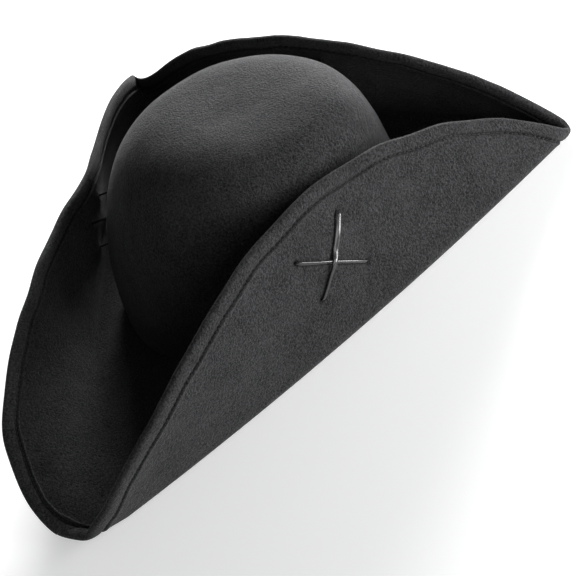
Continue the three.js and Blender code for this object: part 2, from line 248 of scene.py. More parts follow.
def bend(w, lean, radius):
    """How far a point beyond a fold line by w moves in and up as its flap is turned up."""
    half = radius * lean / 2
    within = np.clip(w, -half, half)
    angle = (within + half) / radius
    beyond = np.maximum(w - half, 0)
    shift = radius * np.sin(angle) - (within + half) + beyond * (np.cos(lean) - 1)
    return shift, radius * (1 - np.cos(angle)) + beyond * np.sin(lean)


def beyond_fold(flat, flap):
    share = flat @ flap["side"] / FLAP_SPREAD
    return flat @ flap["out"] - (flap["distance"] - flap["drop"] * share**2)


def past_folds(flat):
    """How far a point of the flat sheet lies beyond the nearest fold line."""
    return np.max([beyond_fold(flat, flap) for flap in flaps.values()], axis=0)


def bare_sheet(flat):
    """The middle of the folded felt, quite even."""
    p = np.concatenate([flat, np.full(flat.shape[:-1] + (1,), FELT / 2)], -1)
    for flap in flaps.values():
        share = flat @ flap["side"] / FLAP_SPREAD
        shift, rise = bend(beyond_fold(flat, flap), *fold_shape(flap, share))
        p[..., :2] += flap["out"] * shift[..., None]
        p[..., 2] += rise
    for name, along, up, length, width, depth in PULLS:
        flap = flaps[name]
        off_along = flat @ flap["side"] / flap["height"] - along
        off_up = (flat @ flap["out"] - flap["distance"]) / flap["height"] - up
        pull = np.exp(-((off_along / length) ** 2) - (off_up / width) ** 2)
        p[..., :2] -= flap["out"] * (pull * depth * flap["height"])[..., None]
    return p


def normals_of(surface, flat, step=0.08):
    dx = np.array([step, 0])
    dy = np.array([0, step])
    across = surface(flat + dx) - surface(flat - dx)
    along = surface(flat + dy) - surface(flat - dy)
    return unit(np.cross(across, along))


lace_ends = {
    name: (on_flap(flaps[flap], along, up), on_flap(flaps[flap], to_along, to_up))
    for name, (flap, along, up, to_along, to_up, _) in LACES.items()
}
holes = np.array([end for ends in lace_ends.values() for end in ends])
crease_line = np.array([on_flap(flaps["right"], along, up) for along, up in CREASE])


def crease_share(flat):
    """1 on the faint crease beside the right flap's cross of laces, and 0 away from it."""
    far = np.full(flat.shape[:-1], 1e3)
    for a, b in zip(crease_line[:-1], crease_line[1:]):
        t = np.clip(((flat - a) @ (b - a)) / ((b - a) @ (b - a)), 0, 1)
        far = np.minimum(far, np.linalg.norm(flat - a - t[..., None] * (b - a), axis=-1))
    return hill(far, CREASE_REACH)


broad_waves = waves(count=9, shortest=45, longest=95, size=0.5, seed=21)
short_waves = waves(count=14, shortest=14, longest=30, size=0.1, seed=22)


def sheet(flat):
    """The middle of the folded felt, a little uneven where it stands up."""
    free = step_between(past_folds(flat), FLAP_RISE_LOW, FLAP_RISE_HIGH)
    push = free * (broad_waves(flat) + short_waves(flat))
    for hole in holes:
        push = push + SWELL * hill(np.linalg.norm(flat - hole, axis=-1), SWELL_REACH)
    push = push + CREASE_RISE * crease_share(flat)
    return bare_sheet(flat) + normals_of(bare_sheet, flat) * push[..., None]


def brim_radius(heading):
    """The flat sheet's reach at a heading: a smooth cubic through the outline's points."""
    rear = 180 - REAR_POINT
    half = [(t * rear if t <= 1 else rear + (t - 1) * REAR_POINT, r) for t, r in OUTLINE]
    rows = half + [(360 - a, r) for a, r in half[-2:0:-1]]
    angle = np.array([a for a, _ in rows])
    reach = np.array([r for _, r in rows])
    n = len(rows)
    turn = np.mod(np.asarray(heading, float) - FRONT_POINT, 360)
    i = np.searchsorted(angle, turn, side="right") - 1

    def at(k):
        return angle[k % n] + 360 * (k // n), reach[k % n]

    (a0, r0), (a1, r1), (a2, r2), (a3, r3) = at(i - 1), at(i), at(i + 1), at(i + 2)
    t = (turn - a1) / (a2 - a1)
    m1 = (r2 - r0) / (a2 - a0) * (a2 - a1)
    m2 = (r3 - r1) / (a3 - a1) * (a2 - a1)
    t2 = t * t
    t3 = t * t * t
    value = (2 * t3 - 3 * t2 + 1) * r1 + (t3 - 2 * t2 + t) * m1
    return BRIM_RADIUS * (value + (3 * t2 - 2 * t3) * r2 + (t3 - t2) * m2)


def opening_radius(heading, gap=0.1):
    """The head opening's reach from the middle of the brim, which lies ahead of its own middle."""
    a = np.radians(heading)
    width = CROWN_HALF_WIDTH + gap
    length = CROWN_HALF_LENGTH + gap
    k = (np.cos(a) / width) ** 2 + (np.sin(a) / length) ** 2
    m = np.sin(a) * CROWN_SETBACK / length**2
    return (m + np.sqrt(m * m + k * (1 - (CROWN_SETBACK / length) ** 2))) / k


def way(heading):
    a = np.radians(heading)
    return np.stack([np.cos(a), np.sin(a)], -1)


def fold_on_ray(heading, farthest):
    """Where rays from the middle first meet a fold line, and half the bend's width along them."""
    halvings = 26
    least_cosine = 0.2
    radius = farthest.copy()
    half = np.zeros_like(farthest)
    for flap in flaps.values():
        low = np.zeros_like(farthest)
        high = farthest.copy()
        turn = np.radians(heading - flap["heading"])
        for _ in range(halvings):
            middle = (low + high) / 2
            share = middle * np.sin(turn) / FLAP_SPREAD
            past = middle * np.cos(turn) > flap["distance"] - flap["drop"] * share**2
            high = np.where(past, middle, high)
            low = np.where(past, low, middle)
        lean, bent = fold_shape(flap, high * np.sin(turn) / FLAP_SPREAD)
        nearer = (high < radius) & (np.cos(turn) > 0)
        half = np.where(nearer, bent * lean / 2 / np.maximum(np.cos(turn), least_cosine), half)
        radius = np.where(nearer, high, radius)
    return radius, half


def spaced_headings(count, spacing=14, turning=14):
    """Headings that lie closer where the brim bends, at its edge and a little inside it.

    A turn by turning degrees counts as much as a length of spacing.
    """
    fine = np.linspace(FRONT_POINT, FRONT_POINT + 360, FINE_HEADINGS)
    cost = np.zeros(len(fine))
    for share in (1, 0.8):
        r = opening_radius(fine) + share * (brim_radius(fine) - opening_radius(fine))
        run = np.diff(bare_sheet(way(fine) * r[:, None]), axis=0)
        length = np.linalg.norm(run, axis=-1)
        turned = np.arccos(np.clip((unit(run) * unit(np.roll(run, -1, 0))).sum(-1), -1, 1))
        cost[1:] += np.cumsum(length / spacing + turned / math.radians(turning))
    return np.interp(np.arange(count) / count * cost[-1], cost, fine)


headings = spaced_headings(BRIM_STATIONS)
edge_flat = way(headings) * brim_radius(headings)[:, None]
edge_run = np.linalg.norm(np.diff(np.vstack([edge_flat, edge_flat[:1]]), axis=0), axis=-1)
edge_length = edge_run.sum()
along_edge = np.concatenate([[0], np.cumsum(edge_run)[:-1]])
print("brim edge, mm:", round(float(edge_length), 1))


ROUND_FIELDS = {
    # name: count, least and most length of a wave, size, seed
    "edge": (10, 30, 120, 0.3, 31),
    "stitch": (8, 25, 90, 0.18, 32),
    "pull": (40, 2.9, 3.2, 0.22, 33),
    "hem": (14, 12, 60, 0.2, 34),
    "puff": (16, 9, 26, 0.12, 35),
}


def round_field(name):
    """An uneven value round the brim's edge, in mm, which closes on itself."""
    count, least, most, size, seed = ROUND_FIELDS[name]
    r = np.random.default_rng(seed)
    turns = r.integers(int(edge_length / most), int(edge_length / least), count)
    phase = r.uniform(0, 2 * np.pi, count)
    angle = 2 * np.pi * along_edge[:, None] / edge_length
    return size * math.sqrt(2 / count) * np.sin(angle * turns + phase).sum(-1)


# Section of the brim, in mm

START_GAP = -0.4  # the sheet reaches this far into the crown's foot, so that no light comes through
FOOT_BEVEL = 0.3
INNER_BAND = 12.6  # from the edge to where the even part of the flap ends
LEAST_FLAT = 2
JOINT_HEADING = -31.0  # where the ends of the hem meet, on the left flap
JOINT_WIDTH = 0.9
JOINT_NOTCH = 0.4  # in the edge
JOINT_SINK = 0.7  # of the hem's face
JOINT_SINK_AT_EDGE = 0.5
# painted shade in the gap where the hem's ends meet
JOINT_PAINTED_SHADE = 0.7
EDGE_REACH = FELT + 0.1  # radius of the rounded edge
EDGE_STEPS = 9
HEM_TOP = FELT * 1.5
HEM_MARGIN = 1.9  # from the stitch line to the hem's cut edge
PUFF = 0.16  # least bulge of the felt between edge and stitches
PUFF_FORM = 0.7  # exponent: that bulge is fuller than an arc
FLAP_STEPS = [
    # count, step: finer where the felt is creased and where the laces pass it
    (7, 2.6),
    (7, 1.25),
    (5, 2.6),
    (8, 1.25),
    (3, 2.6),
]
# Places of columns from the stitch line, inwards, with more of them in the groove
OUTER_PLACES = (3.6, 2.8, 2.2, 1.7, 1.2, 0.7, 0.3, 0, -0.3, -0.7, -1.2, -1.8, -2.6, -3.5, -4.4)
HEM_PLACES = (-4.4, -3.5, -2.6, -1.8, -1.2, -0.7, -0.3, 0, 0.3, 0.7, 1.1)
# What the stitches draw in on each face. lip: the felt that stands up beside the groove
# each groove also gets painted shade, over a width of its own
OUTER_GROOVE = {"depth": 1.1, "width": 0.7, "painted_shade": 1.0, "painted_shade_width": 0.75}
OUTER_LIP = {"height": 0.4, "place": 1.5, "width": 0.75}
HEM_GROOVE = {"depth": 1.15, "width": 0.95, "painted_shade": 0.85, "painted_shade_width": 1.0}
HEM_LIP = {"height": 0.4, "place": 1.2, "width": 0.6}
HEM_CUT = [
    # inwards from the cut edge, height over the felt's middle, sink at the joint, painted shade under
    # the cut edge
    (-0.3, HEM_TOP + 0.4, 0.7, 0),
    (0.05, HEM_TOP, 0.6, 0),
    (0.1, FELT * 0.9, 0, 0),
    (0.12, FELT / 2 + 0.02, 0, 0.6),
    (1.3, FELT / 2, 0, 0),
]

joint = hill(along_edge - np.interp(JOINT_HEADING, headings, along_edge), JOINT_WIDTH)


def brim_grid():
    """The closed section at every station round the brim.

    Gives each column's distance from the middle, its height from the felt's middle, how much painted
    shade it gets (in the stitch grooves, at the hem's joint and under the hem's cut edge), the two
    columns that lie on the stitch line, and the number of columns on the outer face.
    """
    start = opening_radius(headings, START_GAP)
    edge = brim_radius(headings) + round_field("edge") - JOINT_NOTCH * joint
    inner = edge - INNER_BAND
    fold, half = fold_on_ray(headings, inner)
    bend_end = np.clip(fold + half, start + 2 * LEAST_FLAT, inner - LEAST_FLAT)
    bend_start = np.clip(fold - half, start + LEAST_FLAT, bend_end - LEAST_FLAT)
    stitch = STITCH_INSET + round_field("stitch")
    pull = 1 + round_field("pull")
    hem = stitch + HEM_MARGIN + round_field("hem")
    puff = PUFF + np.abs(round_field("puff"))
    columns = []
    heights = []
    shades = []
    stitch_columns = []

    def add(radius, height, shade=0.0):
        columns.append(radius)
        heights.append(height + np.zeros_like(radius))
        shades.append(shade + np.zeros_like(radius))

    def add_between(low, high, shares, height):
        for share in shares:
            add(low + (high - low) * share, height)

    def stitched(off, groove, lip):
        """How far the felt stands out at a place from the stitch line."""
        rise = lip["height"] * hill(off - lip["place"], lip["width"])
        bulge = puff * math.sin(math.pi * min(max(-off / STITCH_INSET, 0), 1)) ** PUFF_FORM
        return rise + bulge - groove["depth"] * hill(off, groove["width"]) * pull

    # Outer face, from the head opening to the edge
    flap_shares = np.cumsum([0] + [step for count, step in FLAP_STEPS for _ in range(count)])
    add(start, -FELT / 2 + FOOT_BEVEL)
    add_between(start, bend_start, (0.02, 0.2, 0.45, 0.7, 0.9), -FELT / 2)
    add_between(bend_start, bend_end, np.arange(10) / 10, -FELT / 2)
    add_between(bend_end, inner, flap_shares / flap_shares[-1], -FELT / 2)
    for off in OUTER_PLACES:
        if off == 0:
            stitch_columns.append(len(columns))
        # painted shade in the stitch groove
        shade = OUTER_GROOVE["painted_shade"] * hill(off, OUTER_GROOVE["painted_shade_width"])
        add(edge - stitch - off, -(FELT / 2 + stitched(off, OUTER_GROOVE, OUTER_LIP)), shade)
    outer_count = len(columns)
    # Rounded edge, with painted shade at the hem's joint
    for degrees in np.linspace(-90, 90, EDGE_STEPS):
        a = math.radians(degrees)
        sink = JOINT_SINK_AT_EDGE * joint if degrees > 0 else 0
        height = FELT / 2 + EDGE_REACH * math.sin(a) - sink
        add(edge - EDGE_REACH + EDGE_REACH * math.cos(a), height, JOINT_PAINTED_SHADE * joint)
    # Folded hem on the upper side
    for off in HEM_PLACES:
        if off == 0:
            stitch_columns.append(len(columns))
        # painted shade in the stitch groove
        shade = HEM_GROOVE["painted_shade"] * hill(off, HEM_GROOVE["painted_shade_width"])
        height = HEM_TOP + stitched(off, HEM_GROOVE, HEM_LIP) - JOINT_SINK * joint
        add(edge - stitch - off, height, np.maximum(shade, JOINT_PAINTED_SHADE * joint))
    # the last value of each row is painted shade under the hem's cut edge
    for inwards, height, sink, shade in HEM_CUT:
        add(edge - hem - inwards, height - sink * joint, shade)
    # Inner face, back to the head opening
    add_between(bend_end, inner, np.linspace(1, 0, 21)[:-1], FELT / 2)
    add_between(bend_start, bend_end, np.linspace(1, 0, 8)[:-1], FELT / 2)
    add_between(start, bend_start, (0.9, 0.6, 0.3, 0.06), FELT / 2)
    add(start + FOOT_BEVEL, FELT / 2 - 0.1)
    add(start, FELT / 2 - 2 * FOOT_BEVEL)
    grid = [np.stack(rows, 1) for rows in (columns, heights, shades)]
    return *grid, stitch_columns, outer_count


# The left-rear corner, which is rounder than the folds alone would make it
CORNER = {
    "heading": 30,
    "spread": 44,  # degrees
    "full_spread": 0.35,  # share of the spread with the full effect
    "least_blend": 0.02,
    "reach": 28,  # mm along the edge
    "from_opening": 18,
    "from_edge": 25,
    "lift": (0, -1, 7),
    "lift_heading": 27,
    "lift_spread": 11,
}


def off_heading(heading):
    return np.mod(headings - heading + 180, 360) - 180


def rounded(points, columns):
    """Averages the brim along its edge near the corner, more so towards the edge, and lifts it."""
    step = np.diff(np.append(along_edge, edge_length))
    apart = np.abs(along_edge[:, None] - along_edge[None])
    apart = np.minimum(apart, edge_length - apart)
    low = opening_radius(headings)[:, None] + CORNER["from_opening"]
    high = brim_radius(headings)[:, None] - CORNER["from_edge"]
    share = step_between(columns, low, high)
    spread = CORNER["spread"]
    turned = np.abs(off_heading(CORNER["heading"]))
    blend = 1 - step_between(turned, spread * CORNER["full_spread"], spread)
    reach = CORNER["reach"] * np.maximum(blend, 1e-3)[:, None]
    near = np.exp(-((apart / reach) ** 2) / 2) * step[None]
    near /= near.sum(1, keepdims=True)
    mean = np.einsum("ij,jkc->ikc", near, points)
    moved = share * (blend > CORNER["least_blend"])[:, None]
    points = points + moved[..., None] * (mean - points)
    raised = share * hill(off_heading(CORNER["lift_heading"]), CORNER["lift_spread"])[:, None]
    return points + raised[..., None] * np.array(CORNER["lift"])


# Meshes


def to_frame(points):
    return (points + SHIFT) * MILLIMETRE


def new_mesh(name, points, faces, material, nodes=()):
    mesh = bpy.data.meshes.new(name)
    places = to_frame(points.reshape(-1, 3)).tolist()
    mesh.from_pydata(places, [], [list(map(int, f)) for f in faces])
    mesh.polygons.foreach_set("use_smooth", np.ones(len(mesh.polygons), bool))
    mesh.materials.append(material)
    mesh.update()
    obj = bpy.data.objects.new(name, mesh)
    bpy.context.scene.collection.objects.link(obj)
    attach(obj, "root")
    if nodes:
        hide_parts(*nodes)
    return obj


def grid_faces(rows, columns, wrap_rows=False, wrap_columns=False):
    i = np.arange(rows if wrap_rows else rows - 1)[:, None]
    j = np.arange(columns if wrap_columns else columns - 1)[None]
    a = i * columns + j
    b = (i + 1) % rows * columns + j
    c = (i + 1) % rows * columns + (j + 1) % columns
    d = i * columns + (j + 1) % columns
    return np.stack(np.broadcast_arrays(a, b, c, d), -1).reshape(-1, 4).tolist()


def capped_grid(rows, first, last):
    """Faces and points of closed rings, one after another, with a point that closes each end."""
    n, sides = rows.shape[:2]
    points = np.vstack([rows.reshape(-1, 3), first, last])
    faces = grid_faces(n, sides, False, True)
    faces += [[n * sides, j, (j + 1) % sides] for j in range(sides)]
    last_ring = (n - 1) * sides
    faces += [[n * sides + 1, last_ring + (j + 1) % sides, last_ring + j] for j in range(sides)]
    return points, faces


def join(parts):
    points = []
    faces = []
    count = 0
    for part_points, part_faces in parts:
        points.append(part_points)
        faces += [[v + count for v in face] for face in part_faces]
        count += len(part_points)
    return np.vstack(points), faces


def add_value(obj, name, values):
    layer = obj.data.attributes.new(name, "FLOAT", "POINT")
    layer.data.foreach_set("value", np.asarray(values, np.float32).ravel())


# Materials


class Nodes:
    """Short ways to lay out a node tree."""

    def __init__(self, name):
        self.material = bpy.data.materials.new(name)
        self.material.use_nodes = True
        self.tree = self.material.node_tree
        self.shader = self.tree.nodes["Principled BSDF"]
        self.place = self.add("ShaderNodeTexCoord").outputs["Object"]

    def add(self, kind, **settings):
        node = self.tree.nodes.new(kind)
        for key, value in settings.items():
            setattr(node, key, value)
        return node

    def link(self, source, target):
        self.tree.links.new(source, target)

    def values(self, node, values):
        for key, value in values.items():
            node.inputs[key].default_value = value

    def noise(self, scale, detail=3.0, roughness=0.6, distortion=0.0):
        node = self.add("ShaderNodeTexNoise")
        self.link(self.place, node.inputs["Vector"])
        self.values(node, {
            "Scale": scale,
            "Detail": detail,
            "Roughness": roughness,
            "Distortion": distortion,
        })
        return node.outputs["Fac"]

    def math(self, operation, a, b):
        node = self.add("ShaderNodeMath", operation=operation)
        for socket, value in zip(node.inputs, (a, b)):
            if isinstance(value, (int, float)):
                socket.default_value = value
            else:
                self.link(value, socket)
        return node.outputs[0]

    def total(self, *weighted):
        """The sum of values times their weights."""
        terms = [self.math("MULTIPLY", value, weight) for value, weight in weighted]
        result = terms[0]
        for term in terms[1:]:
            result = self.math("ADD", result, term)
        return result

    def span(self, value, low, high, out_low=0.0, out_high=1.0):
        node = self.add("ShaderNodeMapRange")
        self.link(value, node.inputs["Value"])
        self.values(node, {"From Min": low, "From Max": high, "To Min": out_low, "To Max": out_high})
        return node.outputs["Result"]

    def attribute(self, name):
        return self.add("ShaderNodeAttribute", attribute_name=name).outputs["Fac"]

    def mix(self, factor, a, b):
        node = self.add("ShaderNodeMix", data_type="RGBA")
        self.link(factor, node.inputs["Factor"])
        for key, colour in (("A", a), ("B", b)):
            socket = [s for s in node.inputs if s.name == key and s.type == "RGBA"][0]
            if isinstance(colour, tuple):
                socket.default_value = (*colour, 1)
            else:
                self.link(colour, socket)
        return [s for s in node.outputs if s.type == "RGBA"][0]

    def bump(self, height, strength, distance):
        node = self.add("ShaderNodeBump")
        self.link(height, node.inputs["Height"])
        self.values(node, {"Strength": strength, "Distance": distance})
        self.link(node.outputs[0], self.shader.inputs["Normal"])


FELT_DARK = (0.006, 0.006, 0.0062)
FELT_PALE = (0.05, 0.05, 0.052)
LINT_GREY = (0.16, 0.16, 0.16)
LACE_BLACK = (0.006, 0.006, 0.007)
LACE_SCUFFED = (0.02, 0.02, 0.021)
THREAD_BLACK = (0.004, 0.004, 0.004)
THREAD_LIT = (0.02, 0.02, 0.021)
FLOOR_GREY = (0.8, 0.8, 0.8)
FLOOR_PALE = (0.82, 0.82, 0.82)


def felt_material():
    """Black felt: fine grain, mottles and blotches, specks of lint, and painted shade in the stitch
    grooves, lace holes, crease, hem joint and under the hem's cut edge.
    """
    m = Nodes("felt_black")
    grain = m.noise(900, 2, 0.6, 0.4)
    fibre = m.noise(1600, 2, 0.6, 0.3)
    mottle = m.noise(85, 4, 0.6, 0.3)
    blotch = m.noise(16, 3, 0.5)
    tone = m.span(m.total((grain, 0.55), (fibre, 0.25), (mottle, 0.12), (blotch, 0.08)), 0.38, 0.65)
    # painted shade, carried on the mesh, darkens the felt's colour
    tone = m.math("MULTIPLY", tone, m.span(m.attribute("painted_shade"), 0, 1, 1, 0.02))
    lint = m.span(m.noise(640, 2, 0.5, 1.5), 0.735, 0.79)
    colour = m.mix(m.math("MULTIPLY", lint, 0.5), m.mix(tone, FELT_DARK, FELT_PALE), LINT_GREY)
    m.link(colour, m.shader.inputs["Base Color"])
    m.link(m.span(grain, 0.3, 0.7, 0.86, 1.0), m.shader.inputs["Roughness"])
    m.values(m.shader, {
        "Specular IOR Level": 0.1,
        "Sheen Weight": 0.09,
        "Sheen Roughness": 0.35,
        "Sheen Tint": (0.9, 0.9, 0.92, 1),
    })
    m.bump(m.total((fibre, 0.4), (grain, 1.0), (mottle, 1.0)), strength=0.95, distance=0.0012)
    return m.material


def lace_material():
    """Glossy black lace, scuffed in places."""
    m = Nodes("lace_gloss")
    scuff = m.noise(900, 3, 0.6)
    broad = m.noise(160, 3, 0.5)
    colour = m.mix(m.span(scuff, 0.35, 0.7), LACE_BLACK, LACE_SCUFFED)
    m.link(colour, m.shader.inputs["Base Color"])
    m.link(m.span(broad, 0.3, 0.7, 0.16, 0.3), m.shader.inputs["Roughness"])
    m.values(m.shader, {"Coat Weight": 0.5, "Coat Roughness": 0.12})
    m.bump(m.total((scuff, 0.3), (broad, 1.0)), strength=0.25, distance=0.0003)
    return m.material


def thread_material():
    """Black thread with a twist."""
    m = Nodes("thread_black")
    twist = m.add("ShaderNodeTexWave", wave_type="BANDS", bands_direction="DIAGONAL")
    m.link(m.place, twist.inputs["Vector"])
    m.values(twist, {"Scale": 900, "Distortion": 2})
    colour = m.mix(twist.outputs["Fac"], THREAD_BLACK, THREAD_LIT)
    m.link(colour, m.shader.inputs["Base Color"])
    m.link(m.span(m.noise(700), 0.3, 0.7, 0.5, 0.7), m.shader.inputs["Roughness"])
    m.bump(twist.outputs["Fac"], strength=0.4, distance=0.0001)
    return m.material


def floor_material():
    """Pale floor that glows a little, so that it turns out as white as the photo's ground."""
    m = Nodes("floor_pale")
    m.link(m.mix(m.noise(3, 2), FLOOR_GREY, FLOOR_PALE), m.shader.inputs["Base Color"])
    m.values(m.shader, {
        "Roughness": 0.9,
        "Emission Color": (1, 1, 1, 1),
        "Emission Strength": 0.4,
    })
    return m.material


felt = felt_material()
lace_gloss = lace_material()
thread = thread_material()

# Brim

columns, heights, painted_shade, stitch_columns, outer_count = brim_grid()
flat = way(headings)[:, None, :] * columns[..., None]
outer = np.arange(columns.shape[1]) < outer_count
for hole in holes:
    offset = flat - hole
    far = np.linalg.norm(offset, axis=-1)
    angle = np.arctan2(offset[..., 1], offset[..., 0])
    pit = hill(far, PIT_REACH)
    pucker = hill(far, PUCKER_REACH) * PUCKER * np.cos(PUCKER_FOLDS * angle + hole[0])
    heights += np.where(outer, PIT_DEPTH * pit + pucker, HOLE_RISE_INSIDE * pit)
    # painted shade in each lace's hole
    painted_shade = np.maximum(painted_shade, np.exp(-((far / PIT_PAINTED_SHADE_REACH) ** 4)))
# painted shade along the faint crease on the outer face
painted_shade = np.maximum(painted_shade, CREASE_PAINTED_SHADE * crease_share(flat) * outer)
brim_points = rounded(sheet(flat) + normals_of(sheet, flat) * heights[..., None], columns)
brim_faces = grid_faces(*columns.shape, True, True)
brim = new_mesh("brim_felt", brim_points, brim_faces, felt, ["brim"])
# painted shade of the stitch grooves, hem joint, hem's cut edge, lace holes and crease
add_value(brim, "painted_shade", painted_shade)

# Crown


def crown_reach(z):
    return np.maximum(1 - z**2, 0) ** (1 / CROWN_SQUARENESS) * (1 - CROWN_TAPER * z)


def crown_point(rho, z, phi):
    side = rho * np.sin(phi)
    return np.stack([
        CROWN_HALF_WIDTH * rho * np.cos(phi) + 0 * z,
        CROWN_SETBACK + CROWN_HALF_LENGTH * side - CROWN_LEAN * z**1.5,
        CROWN_HEIGHT * z * (1 + CROWN_TILT * side),
    ], -1)


def crown_heights(count):
    """Heights of rings, as shares, that lie evenly along the crown's profile up to its middle."""
    fine = 1 - (1 - np.linspace(0, 1, 4001)) ** 4
    z = np.sin(fine * np.pi / 2)
    size = (CROWN_HALF_WIDTH + CROWN_HALF_LENGTH) / 2
    run = np.hypot(size * np.diff(crown_reach(z)), CROWN_HEIGHT * np.diff(z))
    length = np.concatenate([[0], np.cumsum(run)])
    return np.interp(np.arange(count) / (count - 0.5) * length[-1], length, z)


crown_waves = waves(count=10, shortest=60, longest=120, size=0.28, seed=41)
crown_ripples = waves(count=16, shortest=16, longest=34, size=0.1, seed=42)


def crown_surface(z, phi):
    """Points and normals of the crown's even outside. Near the middle the normal is the top's own."""
    turn = 1e-3
    step = np.minimum(1e-3, (1 - z) / 3)
    higher = np.minimum(z + step, 1)
    lower = np.maximum(z - step, 0)
    upwards = crown_point(crown_reach(higher), higher, phi) - crown_point(crown_reach(lower), lower, phi)
    reach = crown_reach(z)
    around = crown_point(reach, z, phi + turn) - crown_point(reach, z, phi - turn)
    flat_top = unit(np.array([0, -CROWN_TILT * CROWN_HEIGHT / CROWN_HALF_LENGTH, 1]))
    side = step_between(reach, 0.12, 0.25)[..., None]
    normal = unit(flat_top * (1 - side) + unit(np.cross(around, upwards)) * side)
    return crown_point(reach, z, phi), normal


def crown_mesh():
    phi = np.linspace(0, 2 * np.pi, CROWN_SIDES, endpoint=False)[None]
    z, phi = np.broadcast_arrays(crown_heights(CROWN_RINGS)[:, None], phi)
    p, normal = crown_surface(z, phi)
    normal = np.where(z[..., None] == 0, unit(normal * [1, 1, 0]), normal)
    free = step_between(p[..., 2], CROWN_RISE_LOW, CROWN_RISE_HIGH)
    uneven = free * (crown_waves(p) + crown_ripples(p))
    outside = p + normal * uneven[..., None]
    inside = (outside - normal * FELT)[::-INNER_RING_SKIP]
    foot = p[:1] - normal[:1] * FELT
    top = crown_point(0.0, 1.0, 0.0)
    top_out = top + [0, 0, crown_waves(top) + crown_ripples(top)]
    rings = np.concatenate([inside[:-1], foot, outside])
    points, faces = capped_grid(rings, top_out - [0, 0, FELT], top_out)
    return points, [face[::-1] for face in faces]


crown_points, crown_faces = crown_mesh()
crown = new_mesh("crown_felt", crown_points, crown_faces, felt, ["crown"])
add_value(crown, "painted_shade", np.zeros(len(crown_points)))

# Laces, in mm

LACE_WIDTH = 3.0
LACE_THICKNESS = 1.3
LACE_LIFT = 0.25  # of a lace over the felt
LACE_GAP = 0.1  # between the laces where they cross
LACE_BOW = 0.5
HUMP_REACH = 0.17  # share of a run, each way, over which the upper lace rises over the other
RUN_POINTS = 49
LEG_POINTS = 26
PATH_POINTS = 150
PATH_SMOOTHING = 3
LACE_SIDES = 14
LACE_SECTION = 0.7  # exponent: less than 1 is boxier than an ellipse
LEG_START = 1.2
LEG_LEAST = 2.0
LEG_STEP = 0.3
LEG_HALF_WIDTH = 0.75
LEG_HALF_THICKNESS = 0.62
FACE_STARTS = (-0.03, 0.07)  # shares of a run over which a lace turns from a leg into a flat strap
FACE_ENDS = (0.96, 1.03)  # and back
KNOT_RADIUS = 2.4
KNOT_CLEARANCE = 0.9
KNOT_SCALE = 0.5
KNOT_FLATNESS = 1.3
KNOT_SKEW = 0.3  # keeps the strand's width off its course
KNOT_POINTS = 72
KNOT_SIDES = 8
KNOT_HALF_WIDTH = 0.8
KNOT_HALF_THICKNESS = 0.7


def outside_crown(p):
    """How far a point lies outside the crown, measured level from its middle. Inside is negative."""
    z = 0.0
    for _ in range(6):
        y = p[1] - CROWN_SETBACK + CROWN_LEAN * z**1.5
        z = min(max(p[2] / (CROWN_HEIGHT * (1 + CROWN_TILT * y / CROWN_HALF_LENGTH)), 0), 0.999)
    share = math.hypot(p[0] / CROWN_HALF_WIDTH, y / CROWN_HALF_LENGTH)
    return math.hypot(p[0], p[1]) * (1 - float(crown_reach(np.float64(z))) / share)


def tube(path, wide, half_width, half_thick, sides, power=1.0):
    """Rings of a flattened tube along a path. wide is its width's direction at each point."""
    tangent = unit(np.gradient(path, axis=0))
    wide = unit(wide - tangent * (wide * tangent).sum(-1, keepdims=True))
    thick = np.cross(tangent, wide)
    a = 2 * np.pi * (np.arange(sides) + 0.5) / sides
    ca = np.sign(np.cos(a)) * np.abs(np.cos(a)) ** power
    sa = np.sign(np.sin(a)) * np.abs(np.sin(a)) ** power
    half_width = np.broadcast_to(half_width, len(path))[:, None, None]
    half_thick = np.broadcast_to(half_thick, len(path))[:, None, None]
    across = wide[:, None] * ca[None, :, None] * half_width
    return path[:, None] + across + thick[:, None] * sa[None, :, None] * half_thick


def closed_tube(rings):
    return capped_grid(rings, rings[0].mean(0), rings[-1].mean(0))


def travelled(path):
    """The way gone along a path at each of its points."""
    return np.append(0, np.linalg.norm(np.diff(path, axis=0), axis=-1).cumsum())


def resample(path, count):
    length = travelled(path)
    want = np.linspace(0, length[-1], count)
    return np.stack([np.interp(want, length, path[:, k]) for k in range(3)], -1)


def smooth_path(path, rounds):
    for _ in range(rounds):
        path[1:-1] = path[1:-1] * 0.5 + (path[:-2] + path[2:]) * 0.25
    return path


def cross_share(name):
    """The share of a lace's run at which the other lace of its X crosses it."""
    a, b = lace_ends[name]
    other = name.replace("rising", "x").replace("falling", "rising").replace("x", "falling")
    c, d = lace_ends[other]
    run = b - a
    cut = d - c
    return ((c - a)[0] * cut[1] - (c - a)[1] * cut[0]) / (run[0] * cut[1] - run[1] * cut[0])


def lace_run(name, over):
    """A lace's middle over its flap's face, from hole to hole."""
    a, b = lace_ends[name]
    t = np.linspace(0, 1, RUN_POINTS)
    course = (b - a) / np.linalg.norm(b - a)
    bow = LACE_BOW * np.sin(np.pi * t) * (1 if over else -1)
    flat_run = a + (b - a) * t[:, None] + np.array([-course[1], course[0]]) * bow[:, None]
    hump = np.cos(np.minimum(np.abs(t - cross_share(name)) / HUMP_REACH, 1) * np.pi / 2) ** 2
    lift = FELT / 2 + LACE_LIFT + LACE_THICKNESS / 2 + over * (LACE_THICKNESS + LACE_GAP) * hump
    return sheet(flat_run) - normals_of(sheet, flat_run) * lift[:, None]


def lace_leg(corner, inward):
    """From the flap's hole inwards, until the knot stands clear inside the crown."""
    length = LEG_LEAST
    while outside_crown(corner + inward * length) > -(FELT + KNOT_RADIUS + KNOT_CLEARANCE):
        length += LEG_STEP
    return corner + inward * np.linspace(LEG_START, length, LEG_POINTS)[:, None]


